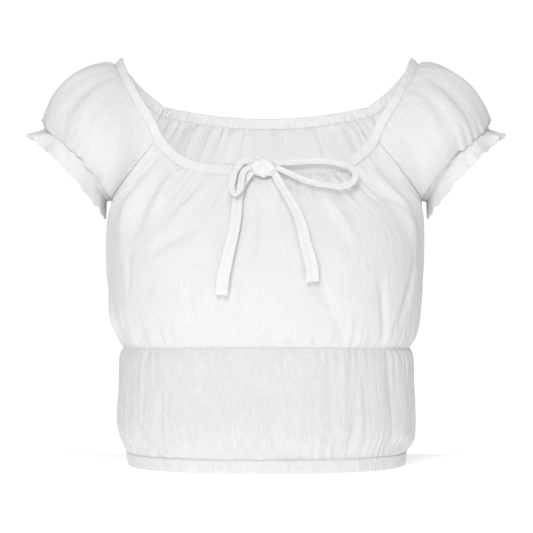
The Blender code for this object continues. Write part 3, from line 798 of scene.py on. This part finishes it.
def sleeve_grid(columns, rows, frill_rows, seed):
    line = np.linspace(0, 1, columns)
    top = casing_share(lambda along: sleeve_point(line, np.full_like(line, along)))[:, None]
    into = np.linspace(0, 1, rows) + 0 * top
    along = TUCKED_SHARE * top + (1 - TUCKED_SHARE * top) * into
    turn = line[:, None] + 0 * along
    points = sleeve_point(turn, along)
    middle = np.sin(np.pi * turn) ** 0.5
    small = (
        gathers(turn, into, 26, 0.0018, 0.34, seed)
        + gathers(turn, 1 - into, 30, 0.0026, 0.40, seed + 10)
        + gathers(turn, 1 - into, 60, 0.0009, 0.16, seed + 20)
        + 1.4 * folds(SLEEVE_FOLDS, turn + 0.012 * np.sin(seed), into) * np.sin(np.pi * into) ** 0.5
        + 0.0016 * value_noise(turn * 15, into * 2.2, seed + 30) * np.sin(np.pi * into) ** 0.7
    )
    edge = np.minimum(turn, 1 - turn) * 0.30
    relief = sleeve_puff(turn, into) + small * ease(edge / 0.016) * middle
    relief = relief + crinkle(turn * 0.3, into * 0.1, seed + 40) - 0.0002 * np.exp(-((edge / 0.0016) ** 2))
    sleeve = points + outward(points) * relief[..., None]
    out = np.linspace(0, 1, frill_rows + 1)[1:]
    frill = frill_point(line[:, None] + 0 * out, out + 0 * line[:, None])
    return np.concatenate([sleeve, frill], axis=1)


left, left_area = cloth("left_sleeve", sleeve_grid(260, 80, 18, 211), CLOTH_THICK, BODICE_COTTON,
                        ["sleeve_left"])
right, right_area = cloth("right_sleeve", mirrored(sleeve_grid(260, 80, 18, 311)), CLOTH_THICK, BODICE_COTTON,
                          ["sleeve_right"])

# %% [markdown]
# The midriff is crinkled all over. Its fine wrinkles stand upright, a few deeper creases run down to the hem,
# and just above the elastic the cloth sags in small swags.


def midriff_grid(centre, columns, rows, rows_of_folds, seed):
    line = np.linspace(-1, 1, columns)
    angle = (centre + line * np.pi / 2)[:, None]
    casing = 1 - TUCKED_SHARE * HEM_CASING_WIDTH / (HEM_DROP - WAIST_DROP)
    into = np.linspace(0, 1, rows) + 0 * angle
    points = midriff_point(angle, (into * 1.016 - 0.016) * casing)
    share = (line[:, None] + 1) / 2 + 0 * into
    at_hem = ease((1 - into) / 0.06)
    wrinkles = value_noise(share * 74, into * 1.8, seed + 20)
    swags = value_noise(share * 13, into * 9, seed + 30)
    relief = (
        gathers(share, into, 60, 0.0016, 0.40, seed)
        + gathers(share, 1 - into, 54, 0.0022, 0.42, seed + 10)
        + folds(rows_of_folds, line[:, None] + 0 * into, into) * ease(into / 0.05) * ease((1 - into) / 0.04)
        + 0.0011 * wrinkles * ease(into / 0.06) * at_hem
        + 0.0020 * swags * ease((into - 0.68) / 0.2) * at_hem
    )
    edge = (1 - np.abs(line[:, None])) * 0.2
    relief = relief * ease(edge / 0.012) + crinkle(share * 0.36, into * 0.1, seed + 40, 0.00030)
    way = outward(points)
    way[..., 2] *= np.sin(np.pi * into) ** 0.7
    return points + way * relief[..., None]


band, band_area = cloth("midriff_front_panel", midriff_grid(0.0, 300, 90, MIDRIFF_FOLDS, 411), CLOTH_THICK,
                        MIDRIFF_COTTON, ["midriff_front"])
band_back, band_back_area = cloth("midriff_back_panel", midriff_grid(np.pi, 260, 80, MIDRIFF_FOLDS[::2], 511),
                                  CLOTH_THICK, MIDRIFF_COTTON, ["midriff_back"])

# %% [markdown]
# The neck casing is folded double, so it is thicker and smoother than the panels. It crosses the front, a
# sleeve, the back and the other sleeve, and the elastic in it ruches it finely. The hem casing does the same
# round the hem.


def ruched(points, widths, count, depth, seed):
    """Fine upright ruching of a closed band, deepest in the middle of its width."""
    share = (np.arange(len(points)) / len(points))[:, None] + 0 * widths
    swell = np.sin(np.pi * np.clip(widths, 0, 1)) ** 0.6
    wrapped = np.concatenate([points[-1:], points, points[:1]])
    normal = np.cross(np.gradient(points, axis=1), (wrapped[2:] - wrapped[:-2]) / 2)
    normal /= np.maximum(np.linalg.norm(normal, axis=-1, keepdims=True), 1e-12)
    wrap = 0.5 - 0.5 * np.cos(2 * np.pi * share)
    wave = value_noise(share * count, widths * 1.2, seed) * ease(wrap / 0.001)
    return points + normal * (CASING_PROUD + (0.0004 + depth * wave) * swell)[..., None]


def neck_ring(front_columns, sleeve_columns, widths):
    front_line = np.linspace(-1, 1, front_columns)
    turn = np.linspace(0, 1, sleeve_columns)[1:-1]

    def stretch(point_at, line):
        share = casing_share(lambda down: point_at(line, np.full_like(line, down)))
        down = share[:, None] * widths
        return point_at(line[:, None] + 0 * down, down)

    over_front = stretch(lambda a, d: bodice_point(FRONT_NECK, a, d), front_line)
    over_sleeve = stretch(sleeve_point, turn)
    over_back = stretch(lambda a, d: bodice_point(BACK_NECK, a, d), front_line[::-1])
    return np.concatenate([over_front, over_sleeve, over_back, mirrored(over_sleeve)])


neck_widths = np.linspace(0, 1.02, 9)
neck_line = neck_ring(230, 120, neck_widths)
neck_outer = ruched(neck_line, neck_widths, 420, 0.0008, 611)
neck_band, neck_area = cloth("neck_casing_band", neck_outer, CASING_THICK, CASING_COTTON,
                             ["neck_casing"], round_it=True)

hem_angle = np.linspace(0, 2 * np.pi, 640, endpoint=False)[:, None]
hem_widths = np.linspace(0, 1, 10)
hem_start = 1 - HEM_CASING_WIDTH / (HEM_DROP - WAIST_DROP)
hem_line = midriff_point(hem_angle, hem_start + (1 - hem_start) * hem_widths + 0 * hem_angle)
hem_outer = ruched(hem_line, hem_widths, 460, 0.00085, 711)
hem_band, hem_area = cloth("hem_casing_band", hem_outer, CASING_THICK, MIDRIFF_COTTON,
                           ["hem_casing"], round_it=True)

# %% [markdown]
# The tie is a flat strip with folded edges and a soft crease along its middle. It comes out of the neck
# casing and makes a bow: a long loop and a tail to one side, a short hanging loop and a tail to the other.
# Each strand follows a smooth line through its table, a few millimetres off the front.

# %% The tie's strands
# The bow: its knot, then for each loop and tail the middle of the cloth, how far it stands off the front,
# and its width there.
KNOT_CENTRE = np.array((-0.0030, -0.1075, -0.1128))
KNOT_SIZE = (0.0230, 0.0110, 0.0180)
TiePoint = namedtuple("TiePoint", "x drop stand_off width")
TAIL_LEFT = (
    TiePoint(0.0045, 0.1175, 0.0080, 0.0070),
    TiePoint(0.0140, 0.1317, 0.0046, 0.0085),
    TiePoint(0.0240, 0.1481, 0.0046, 0.0095),
    TiePoint(0.0320, 0.1685, 0.0046, 0.0110),
    TiePoint(0.0369, 0.1877, 0.0046, 0.0120),
    TiePoint(0.0413, 0.2078, 0.0046, 0.0128),
    TiePoint(0.0428, 0.2209, 0.0046, 0.0130),
)
TAIL_RIGHT = (
    TiePoint(-0.0105, 0.1165, 0.0080, 0.0070),
    TiePoint(-0.0225, 0.1300, 0.0046, 0.0090),
    TiePoint(-0.0268, 0.1420, 0.0046, 0.0100),
    TiePoint(-0.0280, 0.1574, 0.0046, 0.0110),
    TiePoint(-0.0314, 0.1777, 0.0046, 0.0115),
    TiePoint(-0.0349, 0.1927, 0.0046, 0.0120),
    TiePoint(-0.0394, 0.2127, 0.0046, 0.0125),
    TiePoint(-0.0413, 0.2329, 0.0046, 0.0130),
)
LOOP_LEFT = (
    TiePoint(0.0060, 0.1125, 0.0085, 0.0055),
    TiePoint(0.0241, 0.1108, 0.0090, 0.0065),
    TiePoint(0.0445, 0.1092, 0.0095, 0.0065),
    TiePoint(0.0640, 0.1112, 0.0105, 0.0065),
    TiePoint(0.0770, 0.1180, 0.0120, 0.0065),
    TiePoint(0.0805, 0.1250, 0.0125, 0.0065),
    TiePoint(0.0775, 0.1318, 0.0120, 0.0065),
    TiePoint(0.0700, 0.1352, 0.0110, 0.0065),
    TiePoint(0.0547, 0.1342, 0.0100, 0.0065),
    TiePoint(0.0344, 0.1290, 0.0095, 0.0065),
    TiePoint(0.0215, 0.1225, 0.0095, 0.0060),
    TiePoint(0.0065, 0.1152, 0.0085, 0.0055),
)
LOOP_RIGHT = (
    TiePoint(-0.0105, 0.1080, 0.0080, 0.0060),
    TiePoint(-0.0215, 0.1100, 0.0095, 0.0065),
    TiePoint(-0.0275, 0.1180, 0.0100, 0.0065),
    TiePoint(-0.0310, 0.1290, 0.0105, 0.0065),
    TiePoint(-0.0318, 0.1390, 0.0110, 0.0065),
    TiePoint(-0.0285, 0.1435, 0.0118, 0.0065),
    TiePoint(-0.0245, 0.1400, 0.0118, 0.0065),
    TiePoint(-0.0225, 0.1300, 0.0112, 0.0065),
    TiePoint(-0.0205, 0.1210, 0.0105, 0.0060),
    TiePoint(-0.0110, 0.1135, 0.0085, 0.0055),
)
TIE_FLOAT = TIE_THICK / 2


def front_at(x, drop):
    """The front's smooth surface and its normal at a place given in metres across and down."""
    length = WAIST_DROP - FRONT_NECK.centre_drop
    across, down = x / 0.15, (drop - FRONT_NECK.centre_drop) / length
    for _ in range(40):
        point = bodice_point(FRONT_NECK, across, down)
        across = across + 0.8 * (x - point[:, 0]) / 0.15
        down = down + 0.8 * (drop + point[:, 2]) / length
    step = 1e-4
    rise = bodice_point(FRONT_NECK, across, down + step) - point
    run = bodice_point(FRONT_NECK, across + step, down) - point
    normal = np.cross(rise, run)
    return point, normal / np.linalg.norm(normal, axis=-1, keepdims=True)


def strand(name, rows, columns, crease, width_across=15):
    """One strand of the tie as a strip with thickness."""
    place = np.array([(r.x, r.drop) for r in rows])
    reach = np.concatenate([[0], np.cumsum(np.linalg.norm(np.diff(place, axis=0), axis=1))])
    line = smooth_curve(reach, rows)(np.linspace(0, reach[-1], columns))
    x, drop, stand_off, width = line.T
    surface, normal = front_at(x, drop)
    centre = surface + normal * stand_off[:, None]
    pad = np.pad(centre[:, 1], 8, mode="edge")
    centre[:, 1] = np.convolve(pad, np.ones(17) / 17, mode="valid")
    along = np.gradient(centre, axis=0)
    side = np.cross(along, normal)
    side /= np.linalg.norm(side, axis=-1, keepdims=True)
    k = np.linspace(-1, 1, width_across)[None, :]
    t = np.linspace(0, 1, columns)[:, None]
    rise = (
        -crease * np.exp(-((k / 0.16) ** 2)) * ease(t / 0.1)
        + 0.35 * crease * np.exp(-(((np.abs(k) - 0.82) / 0.14) ** 2))
        - 0.9 * crease * np.clip((np.abs(k) - 0.9) / 0.1, 0, 1) ** 2
        + 0.00035 * value_noise(t * columns * 0.06, k * 1.5, len(name) * 7)
    )
    sway = 0.0006 * value_noise(t * 9, 0 * t, len(name) * 3) * ease(t / 0.2)
    across = (width[:, None] / 2 * k + sway)[..., None]
    points = centre[:, None] + side[:, None] * across + normal[:, None] * rise[..., None]
    points = points + normal[:, None] * TIE_FLOAT
    piece, _ = cloth(name, points, TIE_THICK, TIE_COTTON, [name.replace("strand", "tie")])
    path = centre[:: max(1, columns // 40)]
    if not np.allclose(path[-1], centre[-1]):
        path = np.concatenate([path, centre[-1:]])
    return points


tail_left_points = strand("strand_tail_left", TAIL_LEFT, 90, 0.0006)
tail_right_points = strand("strand_tail_right", TAIL_RIGHT, 90, 0.0006)
strand("strand_loop_left", LOOP_LEFT, 150, 0.0005)
strand("strand_loop_right", LOOP_RIGHT, 110, 0.0005)

# %% [markdown]
# The knot is one strand wrapped over the others. A round form is pressed to the knot's size, and slanting
# valleys between its wraps are pushed in, with a deep eye where the strand goes through.

# %% Knot
def wrapped_knot(name):
    form = bmesh.new()
    bmesh.ops.create_uvsphere(form, u_segments=72, v_segments=48, radius=0.5)
    for vertex in form.verts:
        unit = np.array(vertex.co) * 2
        x, y, z = signed_power(unit, 0.82)
        wraps = np.cos(2 * np.pi * 1.6 * (x * 0.75 + z * 0.65)) * 0.06
        small = 0.022 * np.cos(2 * np.pi * 5.5 * (x * 0.7 + z * 0.7) + 0.6)
        eye = -0.62 * np.exp(-(((x + 0.46) / 0.22) ** 2 + ((z - 0.05) / 0.30) ** 2)) * (y < 0)
        swell = 1 + wraps + small
        grown = np.array((x, y * (1 + eye), z)) / 2 * np.array(KNOT_SIZE) * swell
        vertex.co = grown + KNOT_CENTRE
    mesh = bpy.data.meshes.new(name)
    bmesh.ops.recalc_face_normals(form, faces=form.faces)
    form.to_mesh(mesh)
    form.free()
    mesh.shade_smooth()
    layer = mesh.uv_layers.new(name="cloth")
    spots = np.array([mesh.vertices[loop.vertex_index].co for loop in mesh.loops])
    layer.data.foreach_set("uv", (spots[:, (0, 2)]).reshape(-1).astype(np.float32))
    mesh.materials.append(TIE_COTTON)
    piece = bpy.data.objects.new(name, mesh)
    scene.collection.objects.link(piece)
    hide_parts("tie_knot")
    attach(piece, "root")
    return piece


knot = wrapped_knot("bow_knot")
print("knot faces:", len(knot.data.polygons))

# %% [markdown]
# Stitches repeat along a line, so Geometry Nodes make them: the line is resampled at the stitch length, a
# small bead is set on each point and turned along the thread, and the result is made a plain mesh.

# %% Stitch rows
def stitch_tree():
    tree = bpy.data.node_groups.new("stitch_row", "GeometryNodeTree")
    tree.interface.new_socket("Line", in_out="INPUT", socket_type="NodeSocketGeometry")
    for label, value in (("Pitch", 0.0026), ("Thread", 0.00022)):
        socket = tree.interface.new_socket(label, in_out="INPUT", socket_type="NodeSocketFloat")
        socket.default_value = value
    tree.interface.new_socket("Stitches", in_out="OUTPUT", socket_type="NodeSocketGeometry")
    given, made = tree.nodes.new("NodeGroupInput"), tree.nodes.new("NodeGroupOutput")
    resample = tree.nodes.new("GeometryNodeResampleCurve")
    resample.mode = "LENGTH"
    bead = tree.nodes.new("GeometryNodeMeshIcoSphere")
    bead.inputs["Subdivisions"].default_value = 1
    turn = tree.nodes.new("FunctionNodeAlignRotationToVector")
    turn.axis = "X"
    tangent = tree.nodes.new("GeometryNodeInputTangent")
    place = tree.nodes.new("GeometryNodeInstanceOnPoints")
    place.inputs["Scale"].default_value = (3.6, 1.0, 1.0)
    realize = tree.nodes.new("GeometryNodeRealizeInstances")
    colour = tree.nodes.new("GeometryNodeSetMaterial")
    colour.inputs["Material"].default_value = THREAD
    link = tree.links.new
    link(given.outputs["Line"], resample.inputs["Curve"])
    link(given.outputs["Pitch"], resample.inputs["Length"])
    link(given.outputs["Thread"], bead.inputs["Radius"])
    link(tangent.outputs["Tangent"], turn.inputs["Vector"])
    link(resample.outputs["Curve"], place.inputs["Points"])
    link(bead.outputs["Mesh"], place.inputs["Instance"])
    link(turn.outputs["Rotation"], place.inputs["Rotation"])
    link(place.outputs["Instances"], realize.inputs["Geometry"])
    link(realize.outputs["Geometry"], colour.inputs["Geometry"])
    link(colour.outputs["Geometry"], made.inputs["Stitches"])
    return tree


STITCH_ROW = stitch_tree()


def stitch_rows(name, lines, pitch):
    """One mesh of stitches along every line given, each a list of points and whether it closes."""
    data = bpy.data.curves.new(name, "CURVE")
    data.dimensions = "3D"
    for points, closed in lines:
        spline = data.splines.new("POLY")
        spline.points.add(len(points) - 1)
        spline.points.foreach_set("co", np.c_[points, np.ones(len(points))].reshape(-1).astype(np.float32))
        spline.use_cyclic_u = closed
    guide = bpy.data.objects.new(name + "_guide", data)
    scene.collection.objects.link(guide)
    maker = guide.modifiers.new("stitches", "NODES")
    maker.node_group = STITCH_ROW
    for item in STITCH_ROW.interface.items_tree:
        if item.in_out == "INPUT" and item.name == "Pitch":
            maker[item.identifier] = pitch
    mesh = bpy.data.meshes.new_from_object(guide.evaluated_get(bpy.context.evaluated_depsgraph_get()))
    bpy.data.objects.remove(guide)
    mesh.name = name
    uv = mesh.uv_layers.new(name="cloth")
    spots = np.array([mesh.vertices[loop.vertex_index].co for loop in mesh.loops])
    uv.data.foreach_set("uv", spots[:, (0, 2)].reshape(-1).astype(np.float32))
    piece = bpy.data.objects.new(name, mesh)
    scene.collection.objects.link(piece)
    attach(piece, "root")
    print(name, "faces", len(mesh.polygons))
    return piece


CASING_PITCH = 0.0030
TAIL_PITCH = 0.0022
stitch_rows("neck_stitches", [(neck_outer[:, 7], True)], CASING_PITCH)
stitch_rows("hem_stitches", [(hem_outer[:, 1], True)], CASING_PITCH)
tail_hems = [(points[-7], False) for points in (tail_left_points, tail_right_points)]
stitch_rows("tail_hem_stitches", tail_hems, TAIL_PITCH)
